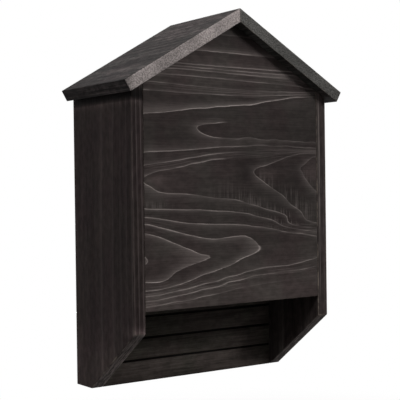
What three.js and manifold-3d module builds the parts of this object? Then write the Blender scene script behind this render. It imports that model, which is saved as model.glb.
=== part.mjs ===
// Bat box of stained boards, hung on a wall by a bevelled cleat.
// Two side panels carry a gabled front panel, a grooved back panel whose lower end is the landing
// board, and two mitred roof boards. Two grooved partitions, kept apart by spacer strips, divide the
// inside into three roosting gaps that are open below and joined under the roof.
// Millimetres, +Z up, the front faces -Y. The origin is the middle of the cleat's face on the wall.
// Heights in the dimensions below are measured from the foot of the side panels.

import * as THREE from "three";
import { mergeVertices } from "three/addons/utils/BufferGeometryUtils.js";
import Module from "manifold-3d";

const wasm = await Module();
wasm.setup();

// Side panels
const bodyWidth = 305;
const sideDepth = 142;
const sideThickness = 16;
const footDepth = 38;
const slantHeight = 78;

// Roof
const ridgeHeight = 474;
const roofPitch = THREE.MathUtils.degToRad(30);
const roofThickness = 15;
const roofHalfWidth = 169;
const roofFrontOverhang = 14;

// Front and back panels
const frontThickness = 16;
const frontBottomHeight = 104;
const backThickness = 16;

// Saw kerfs that the bats cling to
const kerfPitch = 28;
const kerfWidth = 3;
const backKerfDepth = 2.5;
const partitionKerfDepth = 2;

// Partitions and the strips that space them
const partitionCount = 2;
const partitionThickness = 10;
const partitionLift = 25;
const partitionEaveDrop = 20;
const spacerThickness = 10;

// Hanging cleat and lower batten, both in the recess behind the back panel
const cleatEaveDrop = 14;
const cleatHeight = 60;
const cleatBevel = THREE.MathUtils.degToRad(45);
const battenBottomHeight = 40;
const battenHeight = 30;

// Countersunk screws
const screwDiameter = 4;
const screwHeadDiameter = 8;
const screwHeadRim = 0.6;
const screwLength = 32;
const screwSink = 0.5;
const screwTipLength = 4;
const screwFacets = 20;
const screwEndInset = 22;
const cleatInnerScrewSpacing = 80;

// Clearances
const fitGap = 0.3;
const overrun = 5;

// Sizes that follow from the ones above
const innerWidth = bodyWidth - 2 * sideThickness;
const boardWidth = innerWidth - 2 * fitGap;
const recessDepth = footDepth - backThickness;
const innerDepth = sideDepth - footDepth - frontThickness;
const chamberDepth = (innerDepth - partitionCount * partitionThickness) / (partitionCount + 1);
const innerEaveHeight = roofUnderside(innerWidth / 2);
const partitionBottomHeight = frontBottomHeight + partitionLift;
const partitionTopHeight = innerEaveHeight - partitionEaveDrop;
const partitionHeight = partitionTopHeight - partitionBottomHeight;
const cleatTopHeight = innerEaveHeight - cleatEaveDrop;
const cleatMiddleHeight = cleatTopHeight - cleatHeight / 2;
const endScrewPlace = boardWidth / 2 - screwEndInset;
const innerScrewPlace = cleatInnerScrewSpacing / 2;

// Stained softwood in the tones that each board shows, and zinc-plated steel
function stainedWood(color, roughness) {
  return new THREE.MeshStandardMaterial({ color, roughness, metalness: 0 });
}
const sideWood = stainedWood(0x2a2625, 0.7);
const frontWood = stainedWood(0x38332f, 0.65);
const backWood = stainedWood(0x2f2c29, 0.75);
const roofWood = stainedWood(0x413c39, 0.7);
const innerWood = stainedWood(0x33302c, 0.8);
const railWood = stainedWood(0x2c2927, 0.75);
const zincSteel = new THREE.MeshStandardMaterial({ color: 0xb5b7b8, roughness: 0.4, metalness: 1 });

// Closed solid of a geometry, with its shared corners merged
function solidOf(geometry) {
  const bare = geometry.clone();
  bare.deleteAttribute("normal");
  bare.deleteAttribute("uv");
  const merged = mergeVertices(bare);
  return new wasm.Manifold(
    new wasm.Mesh({
      numProp: 3,
      vertProperties: merged.attributes.position.array,
      triVerts: new Uint32Array(merged.index.array),
    }),
  );
}

// Flat-shaded geometry of a solid
function geometryOf(solid) {
  const mesh = solid.getMesh();
  const geometry = new THREE.BufferGeometry();
  geometry.setAttribute("position", new THREE.BufferAttribute(new Float32Array(mesh.vertProperties), 3));
  geometry.setIndex(new THREE.BufferAttribute(new Uint32Array(mesh.triVerts), 1));
  const flat = geometry.toNonIndexed();
  flat.computeVertexNormals();
  return flat;
}

// Named mesh of one piece at its place
function piece(name, geometry, material, x, y, z) {
  const mesh = new THREE.Mesh(geometry, material);
  mesh.name = name;
  mesh.position.set(x, y, z);
  return mesh;
}

// Shape through a list of corners
function outline(corners) {
  return new THREE.Shape(corners.map(([across, up]) => new THREE.Vector2(across, up)));
}

// Prism of an outline in X and Z, reaching from y = 0 back to y = length
function extrudedAlongY(shape, length) {
  const geometry = new THREE.ExtrudeGeometry(shape, { depth: length, bevelEnabled: false });
  geometry.rotateX(Math.PI / 2);
  geometry.translate(0, length, 0);
  return geometry;
}

// Prism of an outline in Y and Z, centred on x = 0
function extrudedAlongX(shape, length) {
  const geometry = new THREE.ExtrudeGeometry(shape, { depth: length, bevelEnabled: false });
  geometry.translate(0, 0, -length / 2);
  const depthAxis = new THREE.Vector3(0, 1, 0);
  const heightAxis = new THREE.Vector3(0, 0, 1);
  const widthAxis = new THREE.Vector3(1, 0, 0);
  geometry.applyMatrix4(new THREE.Matrix4().makeBasis(depthAxis, heightAxis, widthAxis));
  return geometry;
}

// Height of the roof boards' underside at a distance from the middle
function roofUnderside(x) {
  return ridgeHeight - roofThickness / Math.cos(roofPitch) - Math.abs(x) * Math.tan(roofPitch);
}

// House-shaped outline that seats under the roof
function gableOutline(width, bottom) {
  const half = width / 2;
  const eave = roofUnderside(half) - fitGap;
  return outline([
    [-half, bottom],
    [half, bottom],
    [half, eave],
    [0, roofUnderside(0) - fitGap],
    [-half, eave],
  ]);
}

// Side panel: slant at the lower front corner, top edge bevelled to the roof's pitch
function sidePanel(name, side) {
  const centre = (side * (bodyWidth - sideThickness)) / 2;
  const profile = outline([
    [-footDepth, 0],
    [0, 0],
    [0, ridgeHeight],
    [-sideDepth, ridgeHeight],
    [-sideDepth, slantHeight],
  ]);
  const board = extrudedAlongX(profile, sideThickness);
  board.translate(centre, 0, 0);
  const underRoof = extrudedAlongY(gableOutline(bodyWidth + 2 * overrun, -overrun), sideDepth + 2 * overrun);
  underRoof.translate(0, -sideDepth - overrun, 0);
  const solid = solidOf(board).intersect(solidOf(underRoof));
  const geometry = geometryOf(solid);
  geometry.translate(-centre, 0, 0);
  return piece(name, geometry, sideWood, centre, 0, 0);
}

// Front panel: one gabled board, flush with the side panels' front edges
function frontPanel() {
  const geometry = extrudedAlongY(gableOutline(boardWidth, frontBottomHeight), frontThickness);
  return piece("front_panel", geometry, frontWood, 0, -sideDepth, 0);
}

// Heights of the kerfs that lie between two heights, on the pitch that starts at the foot
function kerfHeights(bottom, top) {
  const heights = [];
  for (let height = kerfPitch; height < top - kerfWidth; height += kerfPitch) {
    if (height > bottom + kerfWidth) heights.push(height);
  }
  return heights;
}

// Profile of a board with kerfs sawn in its front face, and in its rear face too if asked
function kerfedProfile(thickness, bottom, top, kerfDepth, bothFaces) {
  const front = [];
  const rear = [];
  for (const height of kerfHeights(bottom, top)) {
    const low = height - kerfWidth / 2;
    const high = height + kerfWidth / 2;
    front.push([0, low], [kerfDepth, low], [kerfDepth, high], [0, high]);
    rear.push([thickness, low], [thickness - kerfDepth, low], [thickness - kerfDepth, high], [thickness, high]);
  }
  const rearCorners = bothFaces ? rear : [];
  return outline([[0, top], ...front.reverse(), [0, bottom], [thickness, bottom], ...rearCorners, [thickness, top]]);
}

// Outline of a screw, or of the hole that clears it by a gap, from its tip to its head
function screwProfile(gap, headroom) {
  const shank = screwDiameter / 2 + gap;
  const head = screwHeadDiameter / 2 + gap;
  const tip = -screwLength - gap;
  const coneTop = -screwHeadRim;
  const coneFoot = coneTop - (screwHeadDiameter - screwDiameter) / 2;
  return [
    new THREE.Vector2(0, tip),
    new THREE.Vector2(shank, tip + screwTipLength),
    new THREE.Vector2(shank, coneFoot),
    new THREE.Vector2(head, coneTop),
    new THREE.Vector2(head, headroom),
    new THREE.Vector2(0, headroom),
  ];
}

// Screw hole on the line of a screw, open to the wall
function screwHole(place) {
  const hole = new THREE.LatheGeometry(screwProfile(fitGap, screwSink + overrun), screwFacets);
  hole.translate(place.x, -screwSink, place.z);
  return solidOf(hole);
}

// Places of the screws that hold the cleat and the batten to the back panel
const fullCleatMiddle = cleatTopHeight - (cleatHeight - recessDepth * Math.tan(cleatBevel)) / 2;
const battenMiddle = battenBottomHeight + battenHeight / 2;
const cleatScrews = [
  { name: "cleat_screw_1", x: -endScrewPlace, z: fullCleatMiddle },
  { name: "cleat_screw_2", x: -innerScrewPlace, z: fullCleatMiddle },
  { name: "cleat_screw_3", x: innerScrewPlace, z: fullCleatMiddle },
  { name: "cleat_screw_4", x: endScrewPlace, z: fullCleatMiddle },
];
const battenScrews = [
  { name: "batten_screw_left", x: -endScrewPlace, z: battenMiddle },
  { name: "batten_screw_right", x: endScrewPlace, z: battenMiddle },
];

// Solid with the holes of its screws taken out
function drilled(solid, screws) {
  return screws.reduce((rest, place) => rest.subtract(screwHole(place)), solid);
}

// Back panel: gabled, kerfed over its whole front, its lower end the landing board
function backPanel() {
  const profile = kerfedProfile(backThickness, 0, ridgeHeight, backKerfDepth, false);
  const board = extrudedAlongX(profile, boardWidth);
  board.translate(0, -footDepth, 0);
  const gable = extrudedAlongY(gableOutline(boardWidth, -overrun), backThickness + 2 * overrun);
  gable.translate(0, -footDepth - overrun, 0);
  const solid = solidOf(board).intersect(solidOf(gable));
  return piece("back_panel", geometryOf(drilled(solid, [...cleatScrews, ...battenScrews])), backWood, 0, 0, 0);
}

// Roof board: mitred at the ridge, cut square at the eave, flush with the wall behind
function roofBoard(name, side) {
  const eaveTop = ridgeHeight - roofHalfWidth * Math.tan(roofPitch);
  const eaveInset = roofThickness * Math.sin(roofPitch);
  const section = outline([
    [0, ridgeHeight],
    [0, roofUnderside(0)],
    [side * (roofHalfWidth - eaveInset), eaveTop - roofThickness * Math.cos(roofPitch)],
    [side * roofHalfWidth, eaveTop],
  ]);
  const length = sideDepth + roofFrontOverhang;
  return piece(name, extrudedAlongY(section, length), roofWood, 0, -length, 0);
}

// Partition: thin board kerfed on both faces, its ends on the side panels
function partition(name, frontY) {
  const bottom = partitionBottomHeight;
  const profile = kerfedProfile(partitionThickness, bottom, partitionTopHeight, partitionKerfDepth, true);
  return piece(name, extrudedAlongX(profile, boardWidth), innerWood, 0, frontY, 0);
}

// Spacer strip: upright beside a side panel, filling one roosting gap from front to back
function spacerStrip(name, side, gapMiddle) {
  const geometry = new THREE.BoxGeometry(spacerThickness, chamberDepth - 2 * fitGap, partitionHeight);
  const x = side * (innerWidth / 2 - fitGap - spacerThickness / 2);
  return piece(name, geometry, innerWood, x, gapMiddle, partitionBottomHeight + partitionHeight / 2);
}

// Rail across the recess from a profile in Y and Z, drilled for its screws
function rail(name, profile, screws) {
  const solid = drilled(solidOf(extrudedAlongX(profile, boardWidth)), screws);
  return piece(name, geometryOf(solid), railWood, 0, 0, 0);
}

// Hanging cleat: its lower edge is bevelled to hook over a cleat on the wall
function hangingCleat() {
  const face = -recessDepth + fitGap;
  const bottom = cleatTopHeight - cleatHeight;
  const bevelRise = -face * Math.tan(cleatBevel);
  const profile = outline([
    [0, bottom],
    [0, cleatTopHeight],
    [face, cleatTopHeight],
    [face, bottom + bevelRise],
  ]);
  return rail("hanging_cleat", profile, cleatScrews);
}

// Lower batten: keeps the foot of the box off the wall, so that it hangs plumb
function lowerBatten() {
  const face = -recessDepth + fitGap;
  const top = battenBottomHeight + battenHeight;
  const profile = outline([
    [face, battenBottomHeight],
    [0, battenBottomHeight],
    [0, top],
    [face, top],
  ]);
  return rail("lower_batten", profile, battenScrews);
}

// Countersunk screw, its head just below the face that meets the wall
function screw(place) {
  const geometry = new THREE.LatheGeometry(screwProfile(0, 0), screwFacets);
  return piece(place.name, geometry, zincSteel, place.x, -screwSink, place.z);
}

// Housing
const housing = new THREE.Group();
housing.add(sidePanel("left_side_panel", -1));
housing.add(sidePanel("right_side_panel", 1));
housing.add(frontPanel());
housing.add(backPanel());
housing.add(roofBoard("left_roof_board", -1));
housing.add(roofBoard("right_roof_board", 1));

// Roosting gaps from the front panel to the back panel, with a partition between each two
const roost = new THREE.Group();
const gapNames = ["front", "middle", "rear"];
const firstGapFront = -sideDepth + frontThickness;
const gapStep = chamberDepth + partitionThickness;
gapNames.forEach((gapName, index) => {
  const gapFront = firstGapFront + index * gapStep;
  const gapMiddle = gapFront + chamberDepth / 2;
  roost.add(spacerStrip("left_" + gapName + "_spacer", -1, gapMiddle));
  roost.add(spacerStrip("right_" + gapName + "_spacer", 1, gapMiddle));
  if (index < partitionCount) {
    roost.add(partition(gapName === "front" ? "front_partition" : "rear_partition", gapFront + chamberDepth));
  }
});

// Wall fixing
const hanger = new THREE.Group();
hanger.add(hangingCleat());
hanger.add(lowerBatten());
for (const place of [...cleatScrews, ...battenScrews]) {
  hanger.add(screw(place));
}

// Whole box, lowered so that the cleat's middle is the origin
const assembly = new THREE.Group();
assembly.add(housing, roost, hanger);
assembly.position.z = -cleatMiddleHeight;
const batBox = new THREE.Group();
batBox.add(assembly);

export default batBox;
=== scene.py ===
"""Bat box of dark-stained boards, hung on a wall by a bevelled cleat.

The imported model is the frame. Each board is rebuilt from its own solid with eased arrises and a stained-wood
finish, the kerfs are sawn by Geometry Nodes, and the screws and spacer strips are put on points by them.
Metres, +Z up, the front faces -Y. The origin is the middle of the cleat's face on the wall.
"""

import logging
import math
from dataclasses import dataclass, field, replace
from enum import Enum

import bmesh
import bpy
import numpy as np
from mathutils import Matrix, Vector

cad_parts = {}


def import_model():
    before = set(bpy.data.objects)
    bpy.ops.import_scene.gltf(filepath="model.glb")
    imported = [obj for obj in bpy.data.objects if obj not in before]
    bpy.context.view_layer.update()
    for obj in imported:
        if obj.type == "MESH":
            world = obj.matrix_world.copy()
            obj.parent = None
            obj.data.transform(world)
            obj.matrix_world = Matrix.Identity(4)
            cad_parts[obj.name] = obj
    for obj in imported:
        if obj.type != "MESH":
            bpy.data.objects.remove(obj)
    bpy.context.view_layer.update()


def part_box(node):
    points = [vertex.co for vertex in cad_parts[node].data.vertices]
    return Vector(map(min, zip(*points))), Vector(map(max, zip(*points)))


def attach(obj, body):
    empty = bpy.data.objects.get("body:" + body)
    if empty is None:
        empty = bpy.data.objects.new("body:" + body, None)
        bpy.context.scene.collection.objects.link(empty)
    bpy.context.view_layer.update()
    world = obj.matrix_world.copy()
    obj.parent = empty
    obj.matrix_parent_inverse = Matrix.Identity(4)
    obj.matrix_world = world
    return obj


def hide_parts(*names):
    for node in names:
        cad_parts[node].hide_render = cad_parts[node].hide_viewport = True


BODY = "root"
SHORT_OF_FLAT = math.radians(20)
COPLANAR = math.radians(1)
ROOF_PITCH = math.radians(30)
QUARTER_TURN = math.pi / 2
MERGE_DISTANCE = 1e-5
WHITE = (1.0, 1.0, 1.0, 1.0)
VECTOR = "NodeSocketVector"
GEOMETRY = "NodeSocketGeometry"
MATERIAL = "NodeSocketMaterial"
SOCKETS = {float: "NodeSocketFloat", int: "NodeSocketInt"}

log = logging.getLogger("bat_box")

Tone = tuple[float, float, float]
Place = tuple[float, float, float]


def linear(tone: Tone) -> tuple[float, float, float, float]:
    """Turn a screen tone into Blender's linear colour by the sRGB curve.

    Args:
        tone: Red, green and blue as a screen shows them, from 0 to 255.

    Returns:
        Linear red, green and blue with full opacity.
    """
    screen = [channel / 255 for channel in tone]
    light = [level / 12.92 if level <= 0.04045 else ((level + 0.055) / 1.055) ** 2.4 for level in screen]
    return (*light, 1.0)


class GrainAxis(Enum):
    """Direction that a board's grain runs in, with the turn that brings it upright in the pattern."""

    ACROSS = ("X", (0.0, -QUARTER_TURN, 0.0))
    DEPTH = ("Y", (QUARTER_TURN, 0.0, 0.0))
    UPRIGHT = ("Z", (0.0, 0.0, 0.0))

    @property
    def direction(self) -> Vector:
        """Unit vector along the grain."""
        return Vector([1.0 if letter == self.value[0] else 0.0 for letter in "XYZ"])

    @property
    def turn(self) -> Vector:
        """Euler angles that stand the grain upright."""
        return Vector(self.value[1])


class RingSource(Enum):
    """Where a board's growth rings come from."""

    LOG = "cut out of a round log"
    FIGURE = "growth lines drawn for this board"


class Wire:
    """Value on its way through a node tree. Arithmetic on it adds Math nodes."""

    def __init__(self, maker: "TreeMaker", socket: bpy.types.NodeSocket) -> None:
        """Take the socket that the value comes out of, and the maker of its tree."""
        self.maker = maker
        self.socket = socket

    def __add__(self, other: object) -> "Wire":
        """Sum."""
        return self.maker.math("ADD", self, other)

    def __sub__(self, other: object) -> "Wire":
        """Difference."""
        return self.maker.math("SUBTRACT", self, other)

    def __rsub__(self, other: object) -> "Wire":
        """Another value less this one."""
        return self.maker.math("SUBTRACT", other, self)

    def __mul__(self, other: object) -> "Wire":
        """Product."""
        return self.maker.math("MULTIPLY", self, other)

    def __truediv__(self, other: object) -> "Wire":
        """Quotient."""
        return self.maker.math("DIVIDE", self, other)

    def __rtruediv__(self, other: object) -> "Wire":
        """Another value over this one."""
        return self.maker.math("DIVIDE", other, self)

    __rmul__ = __mul__


class Results:
    """Outputs of a node, taken as wires by name or index."""

    def __init__(self, maker: "TreeMaker", node: bpy.types.Node) -> None:
        """Take the node and the maker of its tree."""
        self.maker = maker
        self.node = node

    def __getitem__(self, output: str | int) -> Wire:
        """Wire from one output."""
        return Wire(self.maker, self.node.outputs[output])


class TreeMaker:
    """Short calls that add nodes to one tree and join them."""

    def __init__(self, tree: bpy.types.NodeTree) -> None:
        """Take the tree that the nodes go to."""
        self.tree = tree

    def feed(self, socket: bpy.types.NodeSocket, value: object) -> None:
        """Link a socket to a wire or to each wire of a list, or set it to a plain value.

        Args:
            socket: Input of a node.
            value: What it takes.
        """
        for each in value if isinstance(value, list) else [value]:
            if isinstance(each, Wire):
                self.tree.links.new(each.socket, socket)
            else:
                socket.default_value = each

    def node(self, kind: str, feeds: dict | None = None, **settings: object) -> Results:
        """Add a node.

        Args:
            kind: Blender's type name of the node.
            feeds: Wires or values for its inputs, by the input's name or index.
            settings: Properties of the node itself.

        Returns:
            The new node's outputs.
        """
        made = self.tree.nodes.new(kind)
        for name, value in settings.items():
            setattr(made, name, value)
        for name, value in (feeds or {}).items():
            self.feed(made.inputs[name], value)
        return Results(self, made)

    def group(self, tree: bpy.types.NodeTree, feeds: dict) -> Results:
        """Put a shared shader group into the tree."""
        return self.node("ShaderNodeGroup", feeds, node_tree=tree)

    def math(self, operation: str, *values: object, clamp: bool = False) -> Wire:
        """Result of a Math node."""
        return self.node("ShaderNodeMath", dict(enumerate(values)), operation=operation, use_clamp=clamp)[0]

    def vector(self, operation: str, *values: object) -> Wire:
        """Vector result of a Vector Math node."""
        return self.node("ShaderNodeVectorMath", dict(enumerate(values)), operation=operation)["Vector"]

    def measure(self, operation: str, *values: object) -> Wire:
        """Number result of a Vector Math node."""
        return self.node("ShaderNodeVectorMath", dict(enumerate(values)), operation=operation)["Value"]

    def scaled(self, vector: object, scale: object) -> Wire:
        """Vector or colour times a number."""
        return self.node("ShaderNodeVectorMath", {0: vector, "Scale": scale}, operation="SCALE")[0]

    def xyz(self, x: object = 0.0, y: object = 0.0, z: object = 0.0) -> Wire:
        """Vector put together from numbers."""
        return self.node("ShaderNodeCombineXYZ", {"X": x, "Y": y, "Z": z})[0]

    def blend(self, share: object, first: object, second: object) -> Wire:
        """Mix of two colours, where the share says how much of the second one shows."""
        return self.node("ShaderNodeMix", {0: share, 6: first, 7: second}, data_type="RGBA")[2]

    def ramp(self, value: object, low: object, high: object, start: object = 0.0, end: object = 1.0) -> Wire:
        """Map a value smoothly from the range low to high onto the range start to end."""
        feeds = {"Value": value, "From Min": low, "From Max": high, "To Min": start, "To Max": end}
        return self.node("ShaderNodeMapRange", feeds, interpolation_type="SMOOTHSTEP")[0]

    def noise(self, where: object, scale: object, detail: float = 2.0, roughness: float = 0.5) -> Results:
        """Three-dimensional noise texture."""
        feeds = {"Vector": where, "Scale": scale, "Detail": detail, "Roughness": roughness}
        return self.node("ShaderNodeTexNoise", feeds, noise_dimensions="3D")

    def stretch(self, where: object, along: float) -> Wire:
        """Draw a pattern out along the upright grain by taking fewer steps along it."""
        return self.vector("MULTIPLY", where, (1.0, 1.0, along))

    def mark(self, name: str) -> Wire:
        """Value that a board's points carry under a name, or 0 where they carry none."""
        return self.node("ShaderNodeAttribute", attribute_name=name, attribute_type="GEOMETRY")["Fac"]

    def principled(self, feeds: dict) -> None:
        """Give the material a Principled surface."""
        self.node("ShaderNodeOutputMaterial", {"Surface": self.node("ShaderNodeBsdfPrincipled", feeds)[0]})


class NodeGroup(TreeMaker):
    """Node tree with named inputs and outputs, under construction."""

    def __init__(self, name: str, kind: str, takes: dict[str, object], gives: dict[str, str]) -> None:
        """Start the tree.

        Args:
            name: Name of the tree.
            kind: Blender's type name of the tree.
            takes: Default of each input by name, or the socket type of an input without one.
            gives: Socket type of each output by name.
        """
        super().__init__(bpy.data.node_groups.new(name, kind))
        for label, default in takes.items():
            plain = not isinstance(default, str)
            socket_type = SOCKETS[type(default)] if plain else default
            socket = self.tree.interface.new_socket(name=label, in_out="INPUT", socket_type=socket_type)
            if plain:
                socket.default_value = default
        for label, socket_type in gives.items():
            self.tree.interface.new_socket(name=label, in_out="OUTPUT", socket_type=socket_type)
        self.take = self.node("NodeGroupInput")

    def give(self, results: dict[str, object]) -> bpy.types.NodeTree:
        """Link the results to the outputs and return the finished tree."""
        self.node("NodeGroupOutput", results)
        return self.tree


class ShaderGroup(NodeGroup):
    """Shader group whose outputs are numbers."""

    def __init__(self, name: str, takes: dict[str, object], *gives: str) -> None:
        """Start the group from its inputs and the names of its outputs."""
        super().__init__(name, "ShaderNodeTree", takes, dict.fromkeys(gives, SOCKETS[float]))


class GeometryTree(NodeGroup):
    """Geometry Nodes tree that takes and gives one geometry."""

    def __init__(self, name: str, takes: dict[str, object]) -> None:
        """Start the tree.

        Args:
            name: Name of the tree.
            takes: Default of each input by name, without the geometry and the finish.
        """
        takes = {"Geometry": GEOMETRY} | takes | {"Finish": MATERIAL}
        super().__init__(name, "GeometryNodeTree", takes, {"Geometry": GEOMETRY})
        self.tree.is_modifier = True

    def block(self, x: object, y: object, z: object) -> Wire:
        """Block of three sizes about the origin."""
        return self.node("GeometryNodeMeshCube", {"Size": self.xyz(x, y, z)})["Mesh"]

    def lifted(self, shape: Wire, height: object) -> Wire:
        """Shape moved up."""
        return self.node("GeometryNodeTransform", {"Geometry": shape, "Translation": self.xyz(z=height)})[0]

    def swept(self, path: Wire, section: Wire) -> Wire:
        """Closed solid of a section drawn along a path."""
        feeds = {"Curve": path, "Profile Curve": section, "Fill Caps": True}
        return self.node("GeometryNodeCurveToMesh", feeds)[0]

    def on_points(self, points: Wire, shape: Wire, turn: object = (0.0, 0.0, 0.0)) -> Wire:
        """Instance of a shape on each point."""
        feeds = {"Points": points, "Instance": shape, "Rotation": turn}
        return self.node("GeometryNodeInstanceOnPoints", feeds)["Instances"]

    def joined(self, operation: str, feeds: dict[str, object]) -> Wire:
        """Exact Boolean of solids."""
        return self.node("GeometryNodeMeshBoolean", feeds, operation=operation, solver="EXACT")["Mesh"]

    def realized(self, shape: Wire) -> Wire:
        """Instances made plain geometry."""
        return self.node("GeometryNodeRealizeInstances", {"Geometry": shape})[0]

    def finished(self, shape: Wire) -> bpy.types.NodeTree:
        """Realize the result, give it the finish, and return the finished tree."""
        feeds = {"Geometry": self.realized(shape), "Material": self.take["Finish"]}
        return self.give({"Geometry": self.node("GeometryNodeSetMaterial", feeds)[0]})


def surface_nodes(owner: bpy.types.Material | bpy.types.World) -> TreeMaker:
    """Give a new material or world an empty node tree.

    Args:
        owner: The material or world.

    Returns:
        Maker of its nodes.
    """
    owner.use_nodes = True
    owner.node_tree.nodes.clear()
    return TreeMaker(owner.node_tree)


def put_in_scene(name: str, data: bpy.types.ID) -> bpy.types.Object:
    """Make an object of a mesh, lamp or camera and link it to the scene.

    Args:
        name: Name of the object.
        data: Its mesh, lamp or camera.

    Returns:
        The object.
    """
    made = bpy.data.objects.new(name, data)
    bpy.context.scene.collection.objects.link(made)
    return made


def settled(name: str, shape: bmesh.types.BMesh) -> bpy.types.Mesh:
    """Turn a shape, which is used up, into a mesh.

    Args:
        name: Name of the mesh.
        shape: The shape.

    Returns:
        The mesh.
    """
    mesh = bpy.data.meshes.new(name)
    shape.to_mesh(mesh)
    shape.free()
    return mesh


class WoodEffects:
    """Shader node groups that the stained boards share. The grain stands upright in all of them."""

    def __init__(self) -> None:
        """Build each group once."""
        self.log_rings = self._log_rings()
        self.growth_lines = self._growth_lines()
        self.fibres = self._fibres()
        self.clouds = self._clouds()
        self.planer_tears = self._planer_tears()
        self.worn_arris = self._worn_arris()
        self.end_grain = self._end_grain()

    def _log_rings(self) -> bpy.types.NodeTree:
        """Rings of a round log that wanders along its length, as a count of years from the pith.

        Returns:
            The group.
        """
        takes = {"Vector": VECTOR, "Ring Pitch": 0.004, "Wander": 0.01, "Waver Share": 0.12}
        maker = ShaderGroup("log_rings", takes, "Years", "Slope")
        take = maker.take
        drawn = maker.stretch(take["Vector"], along=0.16)
        middle = (0.5, 0.5, 0.5)
        bend = maker.vector("SUBTRACT", maker.noise(drawn, scale=9.0, detail=1.0)["Color"], middle)
        waver = maker.vector("SUBTRACT", maker.noise(drawn, scale=60.0)["Color"], middle)
        wide = maker.scaled(bend, take["Wander"])
        fine = maker.scaled(waver, take["Wander"] * take["Waver Share"])
        moved = maker.vector("ADD", maker.vector("ADD", take["Vector"], wide), fine)
        from_pith = maker.measure("LENGTH", maker.stretch(moved, along=0.0))
        years = from_pith / take["Ring Pitch"]
        return maker.give({"Years": years, "Slope": 1.0 / take["Ring Pitch"]})

    def _growth_lines(self) -> bpy.types.NodeTree:
        """Pale line where each year ends: it builds up slowly, then stops short.

        Returns:
            The group.
        """
        takes = {"Years": 0.0, "Slope": 250.0, "Width": 0.0008, "Glow Share": 0.12, "Sharpness": 3.0}
        maker = ShaderGroup("growth_lines", takes, "Line", "Glow", "Year Tone")
        take = maker.take
        share = maker.math("FRACT", take["Years"])
        ahead = (share - 1.0) / take["Slope"]
        behind = share / take["Slope"]
        before = maker.math("EXPONENT", ahead / take["Width"])
        after = maker.math("EXPONENT", 0.0 - behind / take["Width"] * take["Sharpness"])
        glow = maker.math("EXPONENT", (share - 1.0) / take["Glow Share"])
        year = maker.math("FLOOR", take["Years"])
        tone = maker.node("ShaderNodeTexWhiteNoise", {"W": year}, noise_dimensions="1D")["Value"]
        drawn = maker.math("ADD", before, after, clamp=True)
        return maker.give({"Line": drawn, "Glow": glow, "Year Tone": tone})

    def _fibres(self) -> bpy.types.NodeTree:
        """Crisp fine streaks along the grain, broader soft ones, and the fade of lines along the grain.

        Returns:
            The group.
        """
        maker = ShaderGroup("wood_fibres", {"Vector": VECTOR, "Fineness": 600.0}, "Streak", "Band", "Fade")
        where = maker.take["Vector"]
        fineness = maker.take["Fineness"]
        fine = maker.noise(maker.stretch(where, along=0.03), fineness, detail=3.0, roughness=0.65)[0]
        broad = maker.noise(maker.stretch(where, along=0.05), fineness * 0.25)[0]
        slow = maker.noise(maker.stretch(where, along=0.3), fineness * 0.1)[0]
        streak = maker.ramp(fine, low=0.34, high=0.66)
        band = maker.ramp(broad, low=0.36, high=0.64)
        return maker.give({"Streak": streak, "Band": band, "Fade": maker.ramp(slow, low=0.36, high=0.6)})

    def _clouds(self) -> bpy.types.NodeTree:
        """Broad soft patches where the stain took more or less, small mottles, and a drift of its hue.

        Returns:
            The group.
        """
        maker = ShaderGroup("stain_clouds", {"Vector": VECTOR, "Patches": 14.0}, "Cloud", "Mottle", "Drift")
        where = maker.take["Vector"]
        patches = maker.take["Patches"]
        broad = maker.noise(maker.stretch(where, along=0.35), patches, detail=3.0, roughness=0.55)[0]
        spots = maker.noise(maker.stretch(where, along=0.6), patches * 11.0, detail=4.0, roughness=0.6)[0]
        elsewhere = maker.vector("ADD", where, (7.0, 3.0, 5.0))
        hue = maker.noise(elsewhere, patches * 1.2)[0]
        cloud = maker.ramp(broad, low=0.3, high=0.7)
        mottle = maker.ramp(spots, low=0.3, high=0.7)
        return maker.give({"Cloud": cloud, "Mottle": mottle, "Drift": maker.ramp(hue, low=0.4, high=0.6)})

    def _planer_tears(self) -> bpy.types.NodeTree:
        """Short pale strokes across the grain, hanging off the growth lines where a planer tore them.

        Returns:
            The group.
        """
        maker = ShaderGroup("planer_tears", {"Vector": VECTOR, "Years": 0.0, "Fineness": 420.0}, "Tear")
        take = maker.take
        across = maker.vector("MULTIPLY", take["Vector"], (0.06, 0.06, 1.0))
        strokes = maker.ramp(maker.noise(across, take["Fineness"], roughness=0.6)[0], low=0.46, high=0.62)
        share = maker.math("FRACT", take["Years"])
        hanging = maker.ramp(share, low=0.0, high=0.75, start=1.0, end=0.0)
        return maker.give({"Tear": strokes * hanging})

    def _worn_arris(self) -> bpy.types.NodeTree:
        """Edges where the stain is rubbed thin, broken up along their length.

        Returns:
            The group.
        """
        maker = ShaderGroup("worn_arris", {"Vector": VECTOR, "Wear": 0.5, "Narrowness": 3.0}, "Rubbed")
        take = maker.take
        patch = maker.noise(take["Vector"], scale=55.0, detail=4.0, roughness=0.65)[0]
        gate = maker.ramp(patch + take["Wear"] * 0.4, low=0.5, high=0.85)
        near = maker.math("POWER", maker.mark("arris"), take["Narrowness"])
        return maker.give({"Rubbed": near * gate})

    def _end_grain(self) -> bpy.types.NodeTree:
        """Share of a face that is cut across the grain, and the pores that open on it.

        Returns:
            The group.
        """
        takes = {"Vector": VECTOR, "Normal": VECTOR, "Grain": VECTOR, "Stretch": VECTOR, "Fineness": 700.0}
        maker = ShaderGroup("end_grain", takes, "Cut Across", "Pores")
        take = maker.take
        facing = maker.math("ABSOLUTE", maker.measure("DOT_PRODUCT", take["Normal"], take["Grain"]))
        drawn = maker.vector("MULTIPLY", take["Vector"], take["Stretch"])
        dots = maker.noise(drawn, take["Fineness"], detail=3.0, roughness=0.7)[0]
        cut_across = maker.ramp(facing, low=0.45, high=0.75)
        return maker.give({"Cut Across": cut_across, "Pores": maker.ramp(dots, low=0.35, high=0.65)})


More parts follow.
